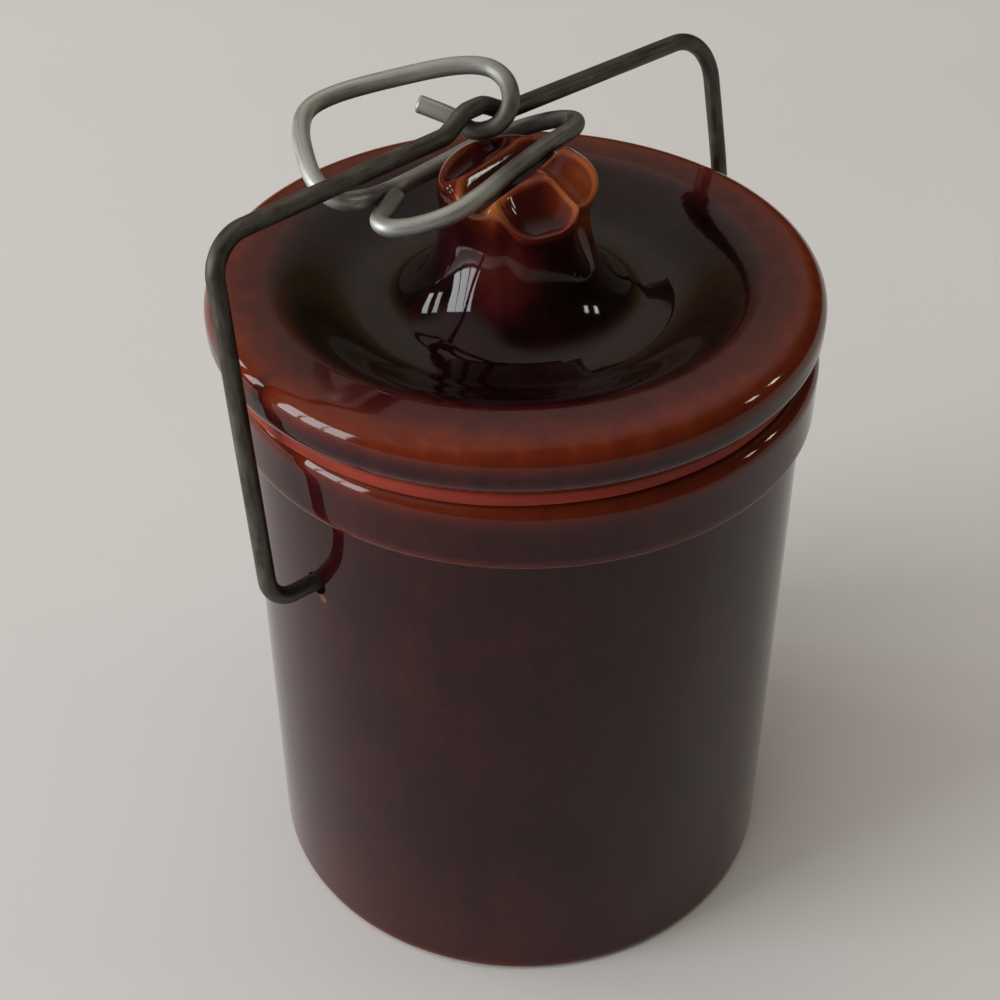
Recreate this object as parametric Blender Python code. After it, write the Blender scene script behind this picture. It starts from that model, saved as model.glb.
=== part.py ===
# Small glazed stoneware crock: a lid with a lobed knob, a rubber gasket, a wire bail and a wire clip.
# Metres, +Z up. The origin is the centre of the flat base, and +X runs along the bail's pivots.
import math

import bmesh
import bpy
import numpy as np
from mathutils import Vector

# Crock body
SIDES = 72
BASE_RADIUS = 0.0438
BASE_EDGE = 0.0015
NECK_RADIUS = 0.0432
NECK_HEIGHT = 0.0908
COLLAR_RADIUS = 0.0448
COLLAR_ROUNDING = 0.0012
CROCK_HEIGHT = 0.1016
RIM_ROUNDING = 0.0026

# Rubber gasket between the crock's rim and the lid
GAP = 0.0003
GASKET_INNER = 0.0362
GASKET_OUTER = 0.0436
GASKET_THICKNESS = 0.0022
GASKET_EDGE = 0.0005

# Lid, which sits a little off the crock's centre
LID_SHIFT = Vector((-0.0010, 0.0007, 0.0))
LID_SIDES = 80
LID_RADIUS = 0.0460
LID_SEAT = CROCK_HEIGHT + GASKET_THICKNESS + 2 * GAP
LID_TOP = 0.1122
LID_ROUNDING = 0.0028
BOSS_RADIUS = GASKET_INNER - GAP
BOSS_BOTTOM = CROCK_HEIGHT + GAP

# Dish in the lid, and the skirt that rises from it to the knob
DISH_RADIUS = 0.0368
DISH_FLOOR = 0.1070
DISH_FLOOR_RADIUS = 0.0235
DISH_STRAIGHT_SHARE = 0.35
DISH_STEPS = 6
SKIRT_FLARE = 0.0078
SKIRT_FADE = 0.0053
SKIRT_FILLET = 0.0022
SKIRT_FILLET_STEPS = 16

# Knob: a waisted column under a crown, with a thin fin spread to its right front
KNOB_WAIST = 0.0102
CROWN_SPREAD = 0.0008
CROWN_SPREAD_SPAN = (0.1195, 0.1250)
CROWN_HEIGHT = 0.1290
CROWN_ROUNDING = 0.0038
CROWN_BULGE = 0.0002
COLUMN_STEPS = 60
CROWN_ARC_STEPS = 18
WIRE_GROOVE_ANGLE = math.radians(10)
FIN_TURN = math.radians(-57)
FIN_WIDTH = math.radians(26)
FIN_SPREAD = 0.075
FIN_SPAN = (0.1205, 0.1252)

# Flutes down the knob's side: turn from the wire's groove, half width, depth, foot and full height
FLUTES = (
    (math.radians(-75), math.radians(13), 0.0018, 0.1115, 0.1225),
    (math.radians(0), math.radians(16), 0.0009, 0.1120, 0.1220),
    (math.radians(180), math.radians(22), 0.0007, 0.1120, 0.1220),
    (math.radians(-152), math.radians(8), 0.0005, 0.1120, 0.1220),
)

# Scoops pressed into the knob's top: the wire's groove, the front groove beside the fin, the thumb's
# hollow in the front lobe, and the channel in the back lobe. Each has its start and end, as places
# along and across the wire's groove and heights of its floor, the radius of its curve and the
# softness of its rim.
SCOOPS = (
    ((-0.0140, 0.0, 0.1254), (0.0140, 0.0, 0.1268), 0.0018, 0.0010),
    ((0.0039, -0.0040, 0.1266), (0.0032, -0.0125, 0.1216), 0.0018, 0.0006),
    ((-0.0064, -0.0079, 0.1226), (-0.0036, -0.0093, 0.1226), 0.0029, 0.0010),
    ((-0.0060, 0.0064, 0.1264), (0.0040, 0.0060, 0.1272), 0.0014, 0.0008),
)
FRONT_LOBE_TOP = 0.1278
FRONT_LOBE_ALONG = 0.0010
FRONT_LOBE_ACROSS = -0.0015
FRONT_LOBE_RISE = 0.0010
EDGE_SOFTNESS = 0.0008

# Rings of the knob's skin: the step of its even outline, the reach that rounds its corners, and the
# numbers of rings up its side and over its top, which lie closest together at the crown's edge
KNOB_STEP = 0.0002
KNOB_SMOOTHING = 0.00045
SIDE_RINGS = 12
SIDE_CROWDING = 1.3
TOP_RINGS = 17
TOP_CROWDING = 1.2

# Wire, of one thickness for the bail and the clip
WIRE_RADIUS = 0.00132
WIRE_BEND_STEP = math.radians(18)

# Bail, leaned back about the pivot axis: its pivots, and the corners of its hand-bent wire as
# places along the pivot axis and heights above it in the bail's own plane
PIVOT_HEIGHT = 0.0765
PIVOT_HOLE_RADIUS = 0.0019
PIVOT_HOLE_INNER = 0.0388
BAIL_END = PIVOT_HOLE_INNER + 0.0007
BAIL_LEAN = math.radians(10)
LEFT_FOOT = (-0.0516, 0.0012)
LEFT_SHOULDER = (-0.0478, 0.0560)
RIGHT_SHOULDER = (0.0521, 0.0538)
RIGHT_WAIST = (0.0530, 0.0300)
RIGHT_FOOT = (0.0518, 0.0005)
LEFT_FOOT_BEND = 0.0042
RIGHT_FOOT_BEND = 0.0032
LEFT_SHOULDER_BEND = 0.0058
RIGHT_SHOULDER_BEND = 0.0090
WAIST_BEND = 0.1200
HUMP_HALF = 0.0060
HUMP_CREST_HALF = 0.0018
HUMP_CREST = 0.0580
HUMP_LEFT_FOOT = 0.0558
HUMP_RIGHT_FOOT = 0.0556
HUMP_BEND = 0.0035

# Clip: the wire's route, from its upper end, round the bail's hump, through the handle loop,
# under the bail, behind the knob, back through the knob's groove and home to its lower end
CLIP_ROUTE = (
    (-0.0042, 0.0173, 0.1334),
    (-0.0017, 0.0130, 0.1319),
    (-0.0002, 0.0102, 0.1302),
    (0.0014, 0.0078, 0.1308),
    (0.0030, 0.0067, 0.1324),
    (0.0046, 0.0071, 0.1344),
    (0.0060, 0.0097, 0.1362),
    (0.0056, 0.0132, 0.1371),
    (0.0025, 0.0172, 0.1369),
    (-0.0042, 0.0224, 0.1356),
    (-0.0115, 0.0265, 0.1343),
    (-0.0166, 0.0270, 0.1334),
    (-0.0206, 0.0239, 0.1325),
    (-0.0240, 0.0189, 0.1314),
    (-0.0259, 0.0149, 0.1302),
    (-0.0258, 0.0122, 0.1289),
    (-0.0242, 0.0108, 0.1279),
    (-0.0212, 0.0107, 0.1271),
    (-0.0180, 0.0114, 0.1261),
    (-0.0117, 0.0130, 0.1248),
    (-0.0033, 0.0142, 0.1242),
    (0.0040, 0.0138, 0.1249),
    (0.0099, 0.0118, 0.1260),
    (0.0140, 0.0081, 0.1275),
    (0.0155, 0.0048, 0.1282),
    (0.0132, 0.0027, 0.1284),
    (0.0075, 0.0020, 0.1283),
    (-0.0010, 0.0006, 0.1280),
    (-0.0093, -0.0010, 0.1276),
    (-0.0147, -0.0006, 0.1266),
    (-0.0189, 0.0020, 0.1254),
    (-0.0212, 0.0050, 0.1248),
    (-0.0211, 0.0074, 0.1249),
    (-0.0190, 0.0082, 0.1255),
    (-0.0159, 0.0091, 0.1264),
)
CLIP_STEPS = 3

# Colours
GLAZE_BROWN = (0.045, 0.010, 0.007, 1.0)
LID_BROWN = (0.075, 0.016, 0.008, 1.0)
GASKET_RED = (0.230, 0.045, 0.030, 1.0)
WIRE_GREY = (0.200, 0.195, 0.180, 1.0)


def clear_scene():
    for item in list(bpy.data.objects):
        bpy.data.objects.remove(item)


def make_material(name, colour, roughness, metallic=0.0):
    material = bpy.data.materials.new(name)
    material.use_nodes = True
    shader = material.node_tree.nodes["Principled BSDF"]
    shader.inputs["Base Color"].default_value = colour
    shader.inputs["Roughness"].default_value = roughness
    shader.inputs["Metallic"].default_value = metallic
    return material


def smooth_step(value, low, high):
    t = np.clip((value - low) / (high - low), 0.0, 1.0)
    return t * t * (3.0 - 2.0 * t)


def arc(centre_r, centre_z, radius, start, end, steps):
    """Profile points on an arc, with the angles in degrees from +R towards +Z."""
    points = []
    for i in range(steps + 1):
        angle = math.radians(start + (end - start) * i / steps)
        points.append((centre_r + radius * math.cos(angle), centre_z + radius * math.sin(angle)))
    return points


def add_object(name, mesh, material):
    obj = bpy.data.objects.new(name, mesh)
    bpy.context.scene.collection.objects.link(obj)
    mesh.materials.append(material)
    mesh.shade_smooth()
    mesh.set_sharp_from_angle(angle=math.radians(40))
    return obj


def turned_rings(profile, sides):
    """Rings of points, one for each point of a profile turned about Z."""
    turns = [math.tau * i / sides for i in range(sides)]
    return [[Vector((r * math.cos(turn), r * math.sin(turn), z)) for turn in turns] for r, z in profile]


def ring_mesh(name, rings, foot=None, crown=None):
    """A solid over rings of points. foot and crown are the points that close its two ends, and without
    them the last ring meets the first."""
    bm = bmesh.new()
    loops = [[bm.verts.new(point) for point in ring] for ring in rings]
    if foot is None:
        loops.append(loops[0])
    for lower, upper in zip(loops, loops[1:]):
        for a, b, c, d in zip(lower, lower[1:] + lower[:1], upper[1:] + upper[:1], upper):
            bm.faces.new((a, b, c, d))
    if foot is not None:
        low = bm.verts.new(foot)
        high = bm.verts.new(crown)
        for a, b in zip(loops[0], loops[0][1:] + loops[0][:1]):
            bm.faces.new((low, b, a))
        for a, b in zip(loops[-1], loops[-1][1:] + loops[-1][:1]):
            bm.faces.new((high, a, b))
    bmesh.ops.recalc_face_normals(bm, faces=bm.faces)
    mesh = bpy.data.meshes.new(name)
    bm.to_mesh(mesh)
    bm.free()
    return mesh


def crock_profile():
    profile = arc(BASE_RADIUS - BASE_EDGE, BASE_EDGE, BASE_EDGE, -90, 0, 3)
    profile.append((NECK_RADIUS, NECK_HEIGHT))
    profile += arc(COLLAR_RADIUS - COLLAR_ROUNDING, NECK_HEIGHT + COLLAR_ROUNDING, COLLAR_ROUNDING, -90, 0, 3)
    profile += arc(COLLAR_RADIUS - RIM_ROUNDING, CROCK_HEIGHT - RIM_ROUNDING, RIM_ROUNDING, 0, 90, 5)
    return profile


def make_crock(material):
    rings = turned_rings(crock_profile(), SIDES)
    mesh = ring_mesh("crock", rings, Vector((0.0, 0.0, 0.0)), Vector((0.0, 0.0, CROCK_HEIGHT)))
    crock = add_object("crock", mesh, material)
    for side in (-1, 1):
        cutter = make_pivot_cutter(side)
        cut = crock.modifiers.new("pivot_hole", 'BOOLEAN')
        cut.operation = 'DIFFERENCE'
        cut.object = cutter
    return crock


def make_pivot_cutter(side):
    """Blind hole for one end of the bail."""
    reach = BASE_RADIUS + PIVOT_HOLE_RADIUS
    bm = bmesh.new()
    bmesh.ops.create_cone(bm, cap_ends=True, segments=16, radius1=PIVOT_HOLE_RADIUS,
                          radius2=PIVOT_HOLE_RADIUS, depth=reach - PIVOT_HOLE_INNER)
    mesh = bpy.data.meshes.new("pivot_cutter")
    bm.to_mesh(mesh)
    bm.free()
    cutter = bpy.data.objects.new("pivot_cutter", mesh)
    bpy.context.scene.collection.objects.link(cutter)
    cutter.rotation_euler = (0.0, math.radians(90), 0.0)
    cutter.location = (side * 0.5 * (reach + PIVOT_HOLE_INNER), 0.0, PIVOT_HEIGHT)
    cutter.hide_render = True
    cutter.display_type = 'WIRE'
    return cutter


def make_gasket(material):
    low = CROCK_HEIGHT + GAP
    high = low + GASKET_THICKNESS
    profile = [(GASKET_INNER, low)]
    profile += arc(GASKET_OUTER - GASKET_EDGE, low + GASKET_EDGE, GASKET_EDGE, -90, 0, 2)
    profile += arc(GASKET_OUTER - GASKET_EDGE, high - GASKET_EDGE, GASKET_EDGE, 0, 90, 2)
    profile.append((GASKET_INNER, high))
    rings = [[point + LID_SHIFT for point in ring] for ring in turned_rings(profile, SIDES)]
    return add_object("gasket", ring_mesh("gasket", rings), material)


def dish_profile():
    """From the lid's flat ring down the dish to its floor."""
    points = []
    for i in range(DISH_STEPS + 1):
        t = i / DISH_STEPS
        radius = DISH_RADIUS + (DISH_FLOOR_RADIUS - DISH_RADIUS) * t
        drop = DISH_STRAIGHT_SHARE * t + (1.0 - DISH_STRAIGHT_SHARE) * smooth_step(t, 0.0, 1.0)
        points.append((radius, LID_TOP - drop * (LID_TOP - DISH_FLOOR)))
    return points


def skirt_radius(rise):
    """Radius of the skirt and the column above the dish's floor."""
    return KNOB_WAIST + SKIRT_FLARE * math.exp(-rise / SKIRT_FADE)


def knob_profile():
    """From the dish's floor up the flared skirt and the column, and over the crown to its centre."""
    foot = skirt_radius(SKIRT_FILLET)
    fillet = 2.0 * SKIRT_FILLET * (foot - KNOB_WAIST) / SKIRT_FADE
    points = []
    for i in range(SKIRT_FILLET_STEPS + 1):
        t = 1.0 - i / SKIRT_FILLET_STEPS
        points.append((foot + fillet * t, DISH_FLOOR + SKIRT_FILLET * (1.0 - t) ** 2))
    low = DISH_FLOOR + SKIRT_FILLET
    top = CROWN_HEIGHT - CROWN_ROUNDING
    for i in range(1, COLUMN_STEPS + 1):
        height = low + (top - low) * i / COLUMN_STEPS
        spread = CROWN_SPREAD * smooth_step(height, *CROWN_SPREAD_SPAN)
        points.append((skirt_radius(height - DISH_FLOOR) + spread, height))
    edge = points[-1][0] - CROWN_ROUNDING
    points += arc(edge, top, CROWN_ROUNDING, 0, 90, CROWN_ARC_STEPS)[1:]
    points.append((0.0, CROWN_HEIGHT + CROWN_BULGE))
    return np.array(points)


def lid_profile():
    profile = [(BOSS_RADIUS, BOSS_BOTTOM), (BOSS_RADIUS, LID_SEAT)]
    profile += arc(LID_RADIUS - LID_ROUNDING, LID_SEAT + LID_ROUNDING, LID_ROUNDING, -90, 0, 3)
    profile += arc(LID_RADIUS - LID_ROUNDING, LID_TOP - LID_ROUNDING, LID_ROUNDING, 0, 90, 5)
    profile += dish_profile()
    return profile


def lower_of(a, b, softness):
    """The lower of two heights, with a rounded meeting."""
    mix = np.clip(0.5 + 0.5 * (b - a) / softness, 0.0, 1.0)
    return b * (1.0 - mix) + a * mix - softness * mix * (1.0 - mix)


def pressed_top(along, across):
    """Height of the knob's pressed top, from its front lobe and its scoops."""
    beyond = np.hypot(np.maximum(along - FRONT_LOBE_ALONG, 0.0), np.maximum(across - FRONT_LOBE_ACROSS, 0.0))
    top = FRONT_LOBE_TOP + 0.5 * beyond ** 2 / FRONT_LOBE_RISE
    for (a0, c0, z0), (a1, c1, z1), radius, softness in SCOOPS:
        line = np.array((a1 - a0, c1 - c0))
        share = np.clip(((along - a0) * line[0] + (across - c0) * line[1]) / (line @ line), 0.0, 1.0)
        off = (along - a0 - share * line[0]) ** 2 + (across - c0 - share * line[1]) ** 2
        top = lower_of(top, z0 + (z1 - z0) * share + 0.5 * off / radius, softness)
    return top


def turn_away(turn, centre):
    """The angle from centre to turn, between a half turn back and a half turn on."""
    return (turn - centre + math.pi) % math.tau - math.pi


def pressed_outline(profile, turn):
    """The knob's outline at one turn from the wire's groove, with its fin, flutes and pressed top."""
    radius, height = profile.T
    fin = FIN_SPREAD * math.exp(-(turn_away(turn, FIN_TURN) / FIN_WIDTH) ** 2)
    size = 1.0 + fin * smooth_step(height, *FIN_SPAN)
    for centre, width, depth, foot, full in FLUTES:
        flute = depth / KNOB_WAIST * math.exp(-(turn_away(turn, centre) / width) ** 2)
        size = size - flute * smooth_step(height, foot, full)
    radius = radius * size
    top = pressed_top(radius * math.cos(turn), radius * math.sin(turn))
    return np.stack([radius, lower_of(height, top, EDGE_SOFTNESS)], axis=1)


def resampled(path, shares):
    """Points of a path at shares of its length."""
    along = np.concatenate([[0.0], np.cumsum(np.linalg.norm(np.diff(path, axis=0), axis=1))])
    return np.stack([np.interp(shares * along[-1], along, column) for column in path.T], axis=1)


def even_steps(path):
    """The same path as points about KNOB_STEP apart."""
    length = np.linalg.norm(np.diff(path, axis=0), axis=1).sum()
    return resampled(path, np.linspace(0.0, 1.0, math.ceil(length / KNOB_STEP) + 1))


def rounded(path):
    """An even path with its corners rounded and its ends kept."""
    half = math.ceil(3.0 * KNOB_SMOOTHING / KNOB_STEP)
    weights = np.exp(-0.5 * (np.arange(-half, half + 1) * KNOB_STEP / KNOB_SMOOTHING) ** 2)
    weights /= weights.sum()
    before = 2.0 * path[0] - path[half:0:-1]
    after = 2.0 * path[-1] - path[-2:-half - 2:-1]
    padded = np.concatenate([before, path, after])
    return np.stack([np.convolve(column, weights, mode="valid") for column in padded.T], axis=1)


def knob_rings():
    """Rings of the knob from the skirt's foot to the crown's centre, and the centre itself."""
    profile = even_steps(knob_profile())
    side_shares = 1.0 - np.linspace(1.0, 0.0, SIDE_RINGS) ** SIDE_CROWDING
    top_shares = np.linspace(0.0, 1.0, TOP_RINGS + 1)[1:] ** TOP_CROWDING
    rings = [[] for _ in range(SIDE_RINGS + TOP_RINGS)]
    for i in range(LID_SIDES):
        turn = math.tau * i / LID_SIDES
        outline = rounded(even_steps(pressed_outline(profile, turn - WIRE_GROOVE_ANGLE)))
        edge = outline.sum(axis=1).argmax()
        side = resampled(outline[:edge + 1], side_shares)
        top = resampled(outline[edge:], top_shares)
        for ring, (radius, height) in zip(rings, np.concatenate([side, top])):
            ring.append(Vector((radius * math.cos(turn), radius * math.sin(turn), height)))
    return rings[:-1], rings[-1][0]


def make_lid(material):
    knob, centre = knob_rings()
    rings = turned_rings(lid_profile(), LID_SIDES) + knob
    rings = [[point + LID_SHIFT for point in ring] for ring in rings]
    foot = Vector((0.0, 0.0, BOSS_BOTTOM)) + LID_SHIFT
    return add_object("lid", ring_mesh("lid", rings, foot, centre + LID_SHIFT), material)


def bent_route(corners):
    """Points along a wire that runs straight between corners and turns each on its bend radius."""
    points = [Vector(corners[0][0])]
    for before, (corner, bend), after in zip(corners, corners[1:], corners[2:]):
        corner = Vector(corner)
        inward = (corner - Vector(before[0])).normalized()
        outward = (Vector(after[0]) - corner).normalized()
        turn = inward.angle(outward)
        reach = bend * math.tan(0.5 * turn)
        start = corner - inward * reach
        side = (outward - inward * inward.dot(outward)).normalized()
        centre = start + side * bend
        steps = max(2, math.ceil(turn / WIRE_BEND_STEP))
        for i in range(steps + 1):
            angle = turn * i / steps
            points.append(centre - side * bend * math.cos(angle) + inward * bend * math.sin(angle))
    points.append(Vector(corners[-1][0]))
    return points


def smooth_route(stations, steps):
    """Points along one smooth curve through all the stations."""
    stations = [Vector(station) for station in stations]
    padded = [2 * stations[0] - stations[1]] + stations + [2 * stations[-1] - stations[-2]]
    points = []
    for a, b, c, d in zip(padded, padded[1:], padded[2:], padded[3:]):
        for i in range(steps):
            t = i / steps
            point = 2 * b + (c - a) * t + (2 * a - 5 * b + 4 * c - d) * t * t
            points.append(0.5 * (point + (3 * b - a - 3 * c + d) * t ** 3))
    points.append(stations[-1])
    return points


def make_wire(name, route, material):
    curve = bpy.data.curves.new(name, 'CURVE')
    curve.dimensions = '3D'
    curve.bevel_depth = WIRE_RADIUS
    curve.bevel_resolution = 3
    curve.use_fill_caps = True
    spline = curve.splines.new('POLY')
    spline.points.add(len(route) - 1)
    for point, place in zip(spline.points, route):
        point.co = (*place, 1.0)
    curve.materials.append(material)
    obj = bpy.data.objects.new(name, curve)
    bpy.context.scene.collection.objects.link(obj)
    return obj


def bail_point(along, rise):
    """A place in the bail's own plane, which leans back about the pivot axis."""
    return (along, rise * math.sin(BAIL_LEAN), PIVOT_HEIGHT + rise * math.cos(BAIL_LEAN))


def make_bail(material):
    corners = [
        (-BAIL_END, 0.0, 0.0),
        (*LEFT_FOOT, LEFT_FOOT_BEND),
        (*LEFT_SHOULDER, LEFT_SHOULDER_BEND),
        (-HUMP_HALF, HUMP_LEFT_FOOT, HUMP_BEND),
        (-HUMP_CREST_HALF, HUMP_CREST, HUMP_BEND),
        (HUMP_CREST_HALF, HUMP_CREST, HUMP_BEND),
        (HUMP_HALF, HUMP_RIGHT_FOOT, HUMP_BEND),
        (*RIGHT_SHOULDER, RIGHT_SHOULDER_BEND),
        (*RIGHT_WAIST, WAIST_BEND),
        (*RIGHT_FOOT, RIGHT_FOOT_BEND),
        (BAIL_END, 0.0, 0.0),
    ]
    route = bent_route([(bail_point(along, rise), bend) for along, rise, bend in corners])
    return make_wire("bail", route, material)


def make_clip(material):
    return make_wire("clip", smooth_route(CLIP_ROUTE, CLIP_STEPS), material)


def main():
    clear_scene()
    make_crock(make_material("crock_glaze", GLAZE_BROWN, 0.15))
    make_gasket(make_material("gasket_rubber", GASKET_RED, 0.65))
    make_lid(make_material("lid_glaze", LID_BROWN, 0.12))
    wire = make_material("wire_steel", WIRE_GREY, 0.45, 0.9)
    make_bail(wire)
    make_clip(wire)


main()
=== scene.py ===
"""Looks of a small brown-glazed stoneware crock with its lid, rubber gasket, wire bail and wire clip.
Metres, +Z up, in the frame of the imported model: the origin is the centre of the base, and +X runs along
the bail's pivots."""
import math

import bmesh
import bpy
import numpy as np
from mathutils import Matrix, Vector, kdtree, noise


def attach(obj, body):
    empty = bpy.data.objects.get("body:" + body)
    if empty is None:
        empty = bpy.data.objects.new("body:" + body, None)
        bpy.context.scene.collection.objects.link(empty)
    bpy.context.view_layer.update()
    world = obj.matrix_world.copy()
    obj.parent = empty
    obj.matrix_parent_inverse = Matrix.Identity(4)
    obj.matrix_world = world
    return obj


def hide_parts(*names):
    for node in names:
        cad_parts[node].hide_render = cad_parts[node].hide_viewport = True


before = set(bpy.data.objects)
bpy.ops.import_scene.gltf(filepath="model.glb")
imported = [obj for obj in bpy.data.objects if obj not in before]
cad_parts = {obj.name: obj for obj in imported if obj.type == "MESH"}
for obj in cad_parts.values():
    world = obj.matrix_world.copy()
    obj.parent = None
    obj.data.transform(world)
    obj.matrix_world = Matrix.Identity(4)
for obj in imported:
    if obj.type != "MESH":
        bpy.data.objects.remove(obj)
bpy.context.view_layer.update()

# Camera, solved on the photograph's outlines
CAMERA_PLACE = (-0.15354, -0.14828, 0.24006)
CAMERA_TURN = (51.0042, 0.2048, -45.1975)
CAMERA_LENS = 60.008
CAMERA_SENSOR = 36.0

# The room's light: pale areas by azimuth, elevation, reach and share of the palest colour, its colours from
# the dimmest to the palest, and where the middle one lies between them
PALE_AREAS = (
    (45.0, 66.0, 58.0, 1.0),
    (150.0, 52.0, 46.0, 1.1),
)
ROOM_COLOURS = ((0.040, 0.030, 0.018), (0.21, 0.150, 0.070), (0.68, 0.61, 0.56))
ROOM_MIDDLE = 0.4

# Lights round a place above the origin: azimuth, elevation, distance, width and height, radiance and colour.
# Windows stand in groups, each with a name and an azimuth for every pane
LIT_CENTRE = Vector((0.0, 0.0, 0.1))
CEILING = (165.0, 64.0, 2.3, (2.8, 2.8), 0.84, (1.0, 0.985, 0.975))
WINDOWS = (
    ("window", (144.0, 154.0, 164.0), 12.5, 2.4, (0.37, 1.06), 11.5, (0.95, 0.98, 1.0)),
    ("side_window", (112.0, 124.0), 16.0, 2.6, (0.24, 0.80), 8.0, (0.95, 0.99, 1.0)),
    ("far_window", (314.0, 326.0), 22.0, 3.0, (0.20, 0.32), 14.0, (0.97, 1.0, 0.88)),
)
FLOOR_SIZE = 6.0
FLOOR_TONES = ((0.3, (0.672, 0.676, 0.672)), (0.7, (0.712, 0.718, 0.716)))

# Fineness of the meshes: longest stretch along each profile or wire, and the angle that stays a sharp edge
BODY_STEP = 0.0009
GASKET_STEP = 0.0008
LID_STEP = 0.0006
WIRE_STEP = 0.0008
SHARP_ANGLE = math.radians(50)

# Unevenness of the wall and the gasket: how far, how closely, and its place in the noise
WALL_WOBBLE = (0.00006, 34.0, 3.1)
GASKET_WOBBLE = (0.00012, 90.0, 7.7)

# Crock body
BODY_SIDES = 256
BASE_RADIUS = 0.0438
BASE_EDGE = 0.0015
NECK_RADIUS = 0.0432
NECK_HEIGHT = 0.0908
COLLAR_RADIUS = 0.0448
COLLAR_ROUNDING = 0.0012
CROCK_HEIGHT = 0.1016
RIM_ROUNDING = 0.0026
PIVOT_HEIGHT = 0.0765
PIVOT_HOLE_RADIUS = 0.0019
PIVOT_HOLE_INNER = 0.0388
PIVOT_HOLE_SIDES = 40
BARE_SPOT = (-0.04335, -0.0012, 0.0742)
BARE_SPOT_REACH = 0.0010

# Gasket
GAP = 0.0003
GASKET_INNER = 0.0362
GASKET_OUTER = 0.0440
GASKET_THICKNESS = 0.0022
GASKET_EDGE = 0.0005
GASKET_CREEP = 0.0002

# Lid
LID_SIDES = 320
LID_SHIFT = np.array((-0.0010, 0.0007, 0.0))
LID_RADIUS = 0.0460
LID_SEAT = CROCK_HEIGHT + GASKET_THICKNESS + 2 * GAP
LID_TOP = 0.1122
LID_UPPER_ROUNDING = 0.0036
LID_LOWER_ROUNDING = 0.0026
BOSS_RADIUS = GASKET_INNER - GAP
BOSS_BOTTOM = CROCK_HEIGHT + GAP
DISH_RADIUS = 0.0368
DISH_FLOOR = 0.1070
DISH_FLOOR_RADIUS = 0.0235
DISH_STRAIGHT_SHARE = 0.35
SKIRT_FLARE = 0.0078
SKIRT_FADE = 0.0053
SKIRT_FILLET = 0.0022

# Knob
KNOB_WAIST = 0.0102
CROWN_SPREAD = 0.0008
CROWN_SPREAD_SPAN = (0.1195, 0.1250)
CROWN_HEIGHT = 0.1290
CROWN_ROUNDING = 0.0038
CROWN_BULGE = 0.0002
WIRE_GROOVE_ANGLE = math.radians(10)
FIN_TURN = math.radians(-57)
FIN_WIDTH = math.radians(26)
FIN_SPREAD = 0.075
FIN_SPAN = (0.1205, 0.1252)
# Flutes down the knob's side: turn from the wire groove, half width, depth, foot and full height
FLUTES = (
    (math.radians(-75), math.radians(13), 0.0018, 0.1115, 0.1225),
    (math.radians(0), math.radians(16), 0.0009, 0.1120, 0.1220),
    (math.radians(180), math.radians(22), 0.0007, 0.1120, 0.1220),
    (math.radians(-152), math.radians(8), 0.0005, 0.1120, 0.1220),
)
# Scoops pressed into the knob's top, along and across its wire groove, with the height of their floors:
# start, end, radius of the floor's curve and softness of the rim
SCOOPS = (
    ((-0.0140, 0.0, 0.1254), (0.0140, 0.0, 0.1268), 0.0018, 0.0010),
    ((0.0039, -0.0040, 0.1266), (0.0032, -0.0125, 0.1216), 0.0018, 0.0006),
    ((-0.0064, -0.0079, 0.1226), (-0.0036, -0.0093, 0.1226), 0.0029, 0.0010),
    ((-0.0060, 0.0064, 0.1264), (0.0040, 0.0060, 0.1272), 0.0014, 0.0008),
)
FRONT_LOBE_TOP = 0.1278
FRONT_LOBE_EDGES = (0.0010, -0.0015)
FRONT_LOBE_RISE = 0.0010
EDGE_SOFTNESS = 0.0008
KNOB_STEP = 0.0002
KNOB_SMOOTHING = 0.00045
KNOB_SIDE_RINGS = 72
KNOB_TOP_RINGS = 64

# Wire
WIRE_RADIUS = 0.00132
WIRE_SIDES = 24
WIRE_CHAMFER = 0.00022
BAIL_END = PIVOT_HOLE_INNER + 0.0007
BAIL_LEAN = math.radians(10)
LEFT_FOOT = (-0.0516, 0.0012)
LEFT_FOOT_BEND = 0.0042
LEFT_SHOULDER = (-0.0478, 0.0560)
RIGHT_SHOULDER = (0.0521, 0.0538)
RIGHT_WAIST = (0.0530, 0.0300)
RIGHT_FOOT = (0.0518, 0.0005)
RIGHT_FOOT_BEND = 0.0032
LEFT_SHOULDER_BEND = 0.0058
RIGHT_SHOULDER_BEND = 0.0090
WAIST_BEND = 0.1200
HUMP_HALF = 0.0060
HUMP_CREST_HALF = 0.0018
HUMP_CREST = 0.0580
HUMP_LEFT_FOOT = 0.0558
HUMP_RIGHT_FOOT = 0.0556
HUMP_BEND = 0.0035
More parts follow.
